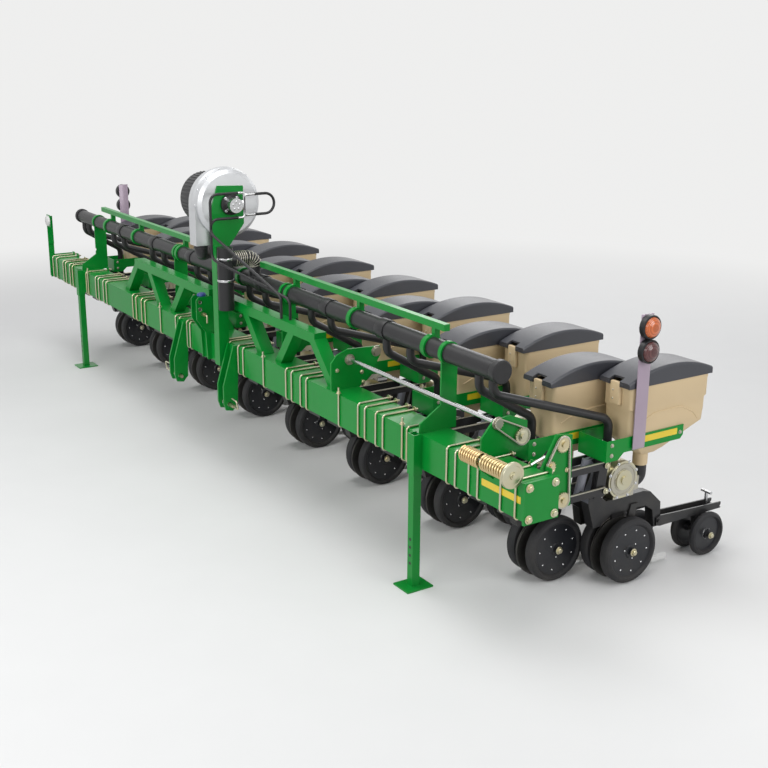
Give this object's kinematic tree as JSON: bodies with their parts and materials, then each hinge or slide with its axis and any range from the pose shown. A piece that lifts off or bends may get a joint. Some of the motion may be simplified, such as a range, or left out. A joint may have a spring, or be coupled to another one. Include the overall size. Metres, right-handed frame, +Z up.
{
  "type": "precision planter",
  "caption": "Rigid twin-row air seed planter on a square toolbar with three-point hitch, hinged hopper lids, rolling gauge and closing wheels and sliding parking stands.",
  "frame": {"origin": "on the floor under the centre of the machine's bounding box", "axes": "+X across the machine along the toolbar, -Y towards the tractor, +Z up"},
  "size_m": [7.464, 2.0899, 2.18],
  "materials": {
    "green_paint": "gloss",
    "black_paint": "satin",
    "disc_steel": "satin",
    "tan_plastic": "matte",
    "lid_plastic": "satin",
    "zinc": "zinc plated",
    "black_pipe": "satin",
    "fan_metal": "satin",
    "amber_lens": "gloss",
    "tyre_rubber": "matte"
  },
  "bodies": {
    "frame": {"toolbar": "green_paint", "hitch_frame": "green_paint", "brackets": "green_paint", "row_frames": "black_paint", "opener_discs": "disc_steel", "seed_hoppers": "tan_plastic", "drive_and_meters": "zinc", "air_ducts": "black_pipe", "fan_housing": "fan_metal", "lamps": "amber_lens"},
    "gauge_wheels_01": {"gauge_wheels_01": "tyre_rubber"},
    "closing_wheels_01": {"closing_wheels_01": "tyre_rubber"},
    "hopper_lid_01": {"hopper_lid_01": "lid_plastic"},
    "gauge_wheels_02": {"gauge_wheels_02": "tyre_rubber"},
    "closing_wheels_02": {"closing_wheels_02": "tyre_rubber"},
    "hopper_lid_02": {"hopper_lid_02": "lid_plastic"},
    "gauge_wheels_03": {"gauge_wheels_03": "tyre_rubber"},
    "closing_wheels_03": {"closing_wheels_03": "tyre_rubber"},
    "hopper_lid_03": {"hopper_lid_03": "lid_plastic"},
    "gauge_wheels_04": {"gauge_wheels_04": "tyre_rubber"},
    "closing_wheels_04": {"closing_wheels_04": "tyre_rubber"},
    "hopper_lid_04": {"hopper_lid_04": "lid_plastic"},
    "gauge_wheels_05": {"gauge_wheels_05": "tyre_rubber"},
    "closing_wheels_05": {"closing_wheels_05": "tyre_rubber"},
    "hopper_lid_05": {"hopper_lid_05": "lid_plastic"},
    "gauge_wheels_06": {"gauge_wheels_06": "tyre_rubber"},
    "closing_wheels_06": {"closing_wheels_06": "tyre_rubber"},
    "hopper_lid_06": {"hopper_lid_06": "lid_plastic"},
    "gauge_wheels_07": {"gauge_wheels_07": "tyre_rubber"},
    "closing_wheels_07": {"closing_wheels_07": "tyre_rubber"},
    "hopper_lid_07": {"hopper_lid_07": "lid_plastic"},
    "gauge_wheels_08": {"gauge_wheels_08": "tyre_rubber"},
    "closing_wheels_08": {"closing_wheels_08": "tyre_rubber"},
    "hopper_lid_08": {"hopper_lid_08": "lid_plastic"},
    "gauge_wheels_09": {"gauge_wheels_09": "tyre_rubber"},
    "closing_wheels_09": {"closing_wheels_09": "tyre_rubber"},
    "hopper_lid_09": {"hopper_lid_09": "lid_plastic"},
    "gauge_wheels_10": {"gauge_wheels_10": "tyre_rubber"},
    "closing_wheels_10": {"closing_wheels_10": "tyre_rubber"},
    "hopper_lid_10": {"hopper_lid_10": "lid_plastic"},
    "gauge_wheels_11": {"gauge_wheels_11": "tyre_rubber"},
    "closing_wheels_11": {"closing_wheels_11": "tyre_rubber"},
    "hopper_lid_11": {"hopper_lid_11": "lid_plastic"},
    "gauge_wheels_12": {"gauge_wheels_12": "tyre_rubber"},
    "closing_wheels_12": {"closing_wheels_12": "tyre_rubber"},
    "hopper_lid_12": {"hopper_lid_12": "lid_plastic"},
    "gauge_wheels_13": {"gauge_wheels_13": "tyre_rubber"},
    "closing_wheels_13": {"closing_wheels_13": "tyre_rubber"},
    "hopper_lid_13": {"hopper_lid_13": "lid_plastic"},
    "gauge_wheels_14": {"gauge_wheels_14": "tyre_rubber"},
    "closing_wheels_14": {"closing_wheels_14": "tyre_rubber"},
    "hopper_lid_14": {"hopper_lid_14": "lid_plastic"},
    "gauge_wheels_15": {"gauge_wheels_15": "tyre_rubber"},
    "closing_wheels_15": {"closing_wheels_15": "tyre_rubber"},
    "hopper_lid_15": {"hopper_lid_15": "lid_plastic"},
    "gauge_wheels_16": {"gauge_wheels_16": "tyre_rubber"},
    "closing_wheels_16": {"closing_wheels_16": "tyre_rubber"},
    "hopper_lid_16": {"hopper_lid_16": "lid_plastic"},
    "stand_left": {"stand_left": "green_paint"},
    "stand_right": {"stand_right": "green_paint"}
  },
  "joints": [
    {"name": "gauge_spin_01", "type": "hinge", "parent": "frame", "child": "gauge_wheels_01", "pos_m": [-3.3274, -0.161, 0.2], "axis": [1, 0, 0], "continuous": true},
    {"name": "closing_spin_01", "type": "hinge", "parent": "frame", "child": "closing_wheels_01", "pos_m": [-3.3274, 0.519, 0.14], "axis": [1, 0, 0], "continuous": true},
    {"name": "lid_hinge_01", "type": "hinge", "parent": "frame", "child": "hopper_lid_01", "pos_m": [-3.3274, -0.262, 1.217], "axis": [1, 0, 0], "range_deg": [0, 100]},
    {"name": "gauge_spin_02", "type": "hinge", "parent": "frame", "child": "gauge_wheels_02", "pos_m": [-3.0734, 0.189, 0.2], "axis": [1, 0, 0], "continuous": true},
    {"name": "closing_spin_02", "type": "hinge", "parent": "frame", "child": "closing_wheels_02", "pos_m": [-3.0734, 0.869, 0.14], "axis": [1, 0, 0], "continuous": true},
    {"name": "lid_hinge_02", "type": "hinge", "parent": "frame", "child": "hopper_lid_02", "pos_m": [-3.0734, 0.088, 1.217], "axis": [1, 0, 0], "range_deg": [0, 100]},
    {"name": "gauge_spin_03", "type": "hinge", "parent": "frame", "child": "gauge_wheels_03", "pos_m": [-2.413, -0.161, 0.2], "axis": [1, 0, 0], "continuous": true},
    {"name": "closing_spin_03", "type": "hinge", "parent": "frame", "child": "closing_wheels_03", "pos_m": [-2.413, 0.519, 0.14], "axis": [1, 0, 0], "continuous": true},
    {"name": "lid_hinge_03", "type": "hinge", "parent": "frame", "child": "hopper_lid_03", "pos_m": [-2.413, -0.262, 1.217], "axis": [1, 0, 0], "range_deg": [0, 100]},
    {"name": "gauge_spin_04", "type": "hinge", "parent": "frame", "child": "gauge_wheels_04", "pos_m": [-2.159, 0.189, 0.2], "axis": [1, 0, 0], "continuous": true},
    {"name": "closing_spin_04", "type": "hinge", "parent": "frame", "child": "closing_wheels_04", "pos_m": [-2.159, 0.869, 0.14], "axis": [1, 0, 0], "continuous": true},
    {"name": "lid_hinge_04", "type": "hinge", "parent": "frame", "child": "hopper_lid_04", "pos_m": [-2.159, 0.088, 1.217], "axis": [1, 0, 0], "range_deg": [0, 100]},
    {"name": "gauge_spin_05", "type": "hinge", "parent": "frame", "child": "gauge_wheels_05", "pos_m": [-1.4986, -0.161, 0.2], "axis": [1, 0, 0], "continuous": true},
    {"name": "closing_spin_05", "type": "hinge", "parent": "frame", "child": "closing_wheels_05", "pos_m": [-1.4986, 0.519, 0.14], "axis": [1, 0, 0], "continuous": true},
    {"name": "lid_hinge_05", "type": "hinge", "parent": "frame", "child": "hopper_lid_05", "pos_m": [-1.4986, -0.262, 1.217], "axis": [1, 0, 0], "range_deg": [0, 100]},
    {"name": "gauge_spin_06", "type": "hinge", "parent": "frame", "child": "gauge_wheels_06", "pos_m": [-1.2446, 0.189, 0.2], "axis": [1, 0, 0], "continuous": true},
    {"name": "closing_spin_06", "type": "hinge", "parent": "frame", "child": "closing_wheels_06", "pos_m": [-1.2446, 0.869, 0.14], "axis": [1, 0, 0], "continuous": true},
    {"name": "lid_hinge_06", "type": "hinge", "parent": "frame", "child": "hopper_lid_06", "pos_m": [-1.2446, 0.088, 1.217], "axis": [1, 0, 0], "range_deg": [0, 100]},
    {"name": "gauge_spin_07", "type": "hinge", "parent": "frame", "child": "gauge_wheels_07", "pos_m": [-0.5842, -0.161, 0.2], "axis": [1, 0, 0], "continuous": true},
    {"name": "closing_spin_07", "type": "hinge", "parent": "frame", "child": "closing_wheels_07", "pos_m": [-0.5842, 0.519, 0.14], "axis": [1, 0, 0], "continuous": true},
    {"name": "lid_hinge_07", "type": "hinge", "parent": "frame", "child": "hopper_lid_07", "pos_m": [-0.5842, -0.262, 1.217], "axis": [1, 0, 0], "range_deg": [0, 100]},
    {"name": "gauge_spin_08", "type": "hinge", "parent": "frame", "child": "gauge_wheels_08", "pos_m": [-0.3302, 0.189, 0.2], "axis": [1, 0, 0], "continuous": true},
    {"name": "closing_spin_08", "type": "hinge", "parent": "frame", "child": "closing_wheels_08", "pos_m": [-0.3302, 0.869, 0.14], "axis": [1, 0, 0], "continuous": true},
    {"name": "lid_hinge_08", "type": "hinge", "parent": "frame", "child": "hopper_lid_08", "pos_m": [-0.3302, 0.088, 1.217], "axis": [1, 0, 0], "range_deg": [0, 100]},
    {"name": "gauge_spin_09", "type": "hinge", "parent": "frame", "child": "gauge_wheels_09", "pos_m": [0.3302, -0.161, 0.2], "axis": [1, 0, 0], "continuous": true},
    {"name": "closing_spin_09", "type": "hinge", "parent": "frame", "child": "closing_wheels_09", "pos_m": [0.3302, 0.519, 0.14], "axis": [1, 0, 0], "continuous": true},
    {"name": "lid_hinge_09", "type": "hinge", "parent": "frame", "child": "hopper_lid_09", "pos_m": [0.3302, -0.262, 1.217], "axis": [1, 0, 0], "range_deg": [0, 100]},
    {"name": "gauge_spin_10", "type": "hinge", "parent": "frame", "child": "gauge_wheels_10", "pos_m": [0.5842, 0.189, 0.2], "axis": [1, 0, 0], "continuous": true},
    {"name": "closing_spin_10", "type": "hinge", "parent": "frame", "child": "closing_wheels_10", "pos_m": [0.5842, 0.869, 0.14], "axis": [1, 0, 0], "continuous": true},
    {"name": "lid_hinge_10", "type": "hinge", "parent": "frame", "child": "hopper_lid_10", "pos_m": [0.5842, 0.088, 1.217], "axis": [1, 0, 0], "range_deg": [0, 100]},
    {"name": "gauge_spin_11", "type": "hinge", "parent": "frame", "child": "gauge_wheels_11", "pos_m": [1.2446, -0.161, 0.2], "axis": [1, 0, 0], "continuous": true},
    {"name": "closing_spin_11", "type": "hinge", "parent": "frame", "child": "closing_wheels_11", "pos_m": [1.2446, 0.519, 0.14], "axis": [1, 0, 0], "continuous": true},
    {"name": "lid_hinge_11", "type": "hinge", "parent": "frame", "child": "hopper_lid_11", "pos_m": [1.2446, -0.262, 1.217], "axis": [1, 0, 0], "range_deg": [0, 100]},
    {"name": "gauge_spin_12", "type": "hinge", "parent": "frame", "child": "gauge_wheels_12", "pos_m": [1.4986, 0.189, 0.2], "axis": [1, 0, 0], "continuous": true},
    {"name": "closing_spin_12", "type": "hinge", "parent": "frame", "child": "closing_wheels_12", "pos_m": [1.4986, 0.869, 0.14], "axis": [1, 0, 0], "continuous": true},
    {"name": "lid_hinge_12", "type": "hinge", "parent": "frame", "child": "hopper_lid_12", "pos_m": [1.4986, 0.088, 1.217], "axis": [1, 0, 0], "range_deg": [0, 100]},
    {"name": "gauge_spin_13", "type": "hinge", "parent": "frame", "child": "gauge_wheels_13", "pos_m": [2.159, -0.161, 0.2], "axis": [1, 0, 0], "continuous": true},
    {"name": "closing_spin_13", "type": "hinge", "parent": "frame", "child": "closing_wheels_13", "pos_m": [2.159, 0.519, 0.14], "axis": [1, 0, 0], "continuous": true},
    {"name": "lid_hinge_13", "type": "hinge", "parent": "frame", "child": "hopper_lid_13", "pos_m": [2.159, -0.262, 1.217], "axis": [1, 0, 0], "range_deg": [0, 100]},
    {"name": "gauge_spin_14", "type": "hinge", "parent": "frame", "child": "gauge_wheels_14", "pos_m": [2.413, 0.189, 0.2], "axis": [1, 0, 0], "continuous": true},
    {"name": "closing_spin_14", "type": "hinge", "parent": "frame", "child": "closing_wheels_14", "pos_m": [2.413, 0.869, 0.14], "axis": [1, 0, 0], "continuous": true},
    {"name": "lid_hinge_14", "type": "hinge", "parent": "frame", "child": "hopper_lid_14", "pos_m": [2.413, 0.088, 1.217], "axis": [1, 0, 0], "range_deg": [0, 100]},
    {"name": "gauge_spin_15", "type": "hinge", "parent": "frame", "child": "gauge_wheels_15", "pos_m": [3.0734, -0.161, 0.2], "axis": [1, 0, 0], "continuous": true},
    {"name": "closing_spin_15", "type": "hinge", "parent": "frame", "child": "closing_wheels_15", "pos_m": [3.0734, 0.519, 0.14], "axis": [1, 0, 0], "continuous": true},
    {"name": "lid_hinge_15", "type": "hinge", "parent": "frame", "child": "hopper_lid_15", "pos_m": [3.0734, -0.262, 1.217], "axis": [1, 0, 0], "range_deg": [0, 100]},
    {"name": "gauge_spin_16", "type": "hinge", "parent": "frame", "child": "gauge_wheels_16", "pos_m": [3.3274, 0.189, 0.2], "axis": [1, 0, 0], "continuous": true},
    {"name": "closing_spin_16", "type": "hinge", "parent": "frame", "child": "closing_wheels_16", "pos_m": [3.3274, 0.869, 0.14], "axis": [1, 0, 0], "continuous": true},
    {"name": "lid_hinge_16", "type": "hinge", "parent": "frame", "child": "hopper_lid_16", "pos_m": [3.3274, 0.088, 1.217], "axis": [1, 0, 0], "range_deg": [0, 100]},
    {"name": "stand_slide_left", "type": "slide", "parent": "frame", "child": "stand_left", "axis": [0, 0, 1], "range_m": [0, 0.35]},
    {"name": "stand_slide_right", "type": "slide", "parent": "frame", "child": "stand_right", "axis": [0, 0, 1], "range_m": [0, 0.35]}
  ]
}
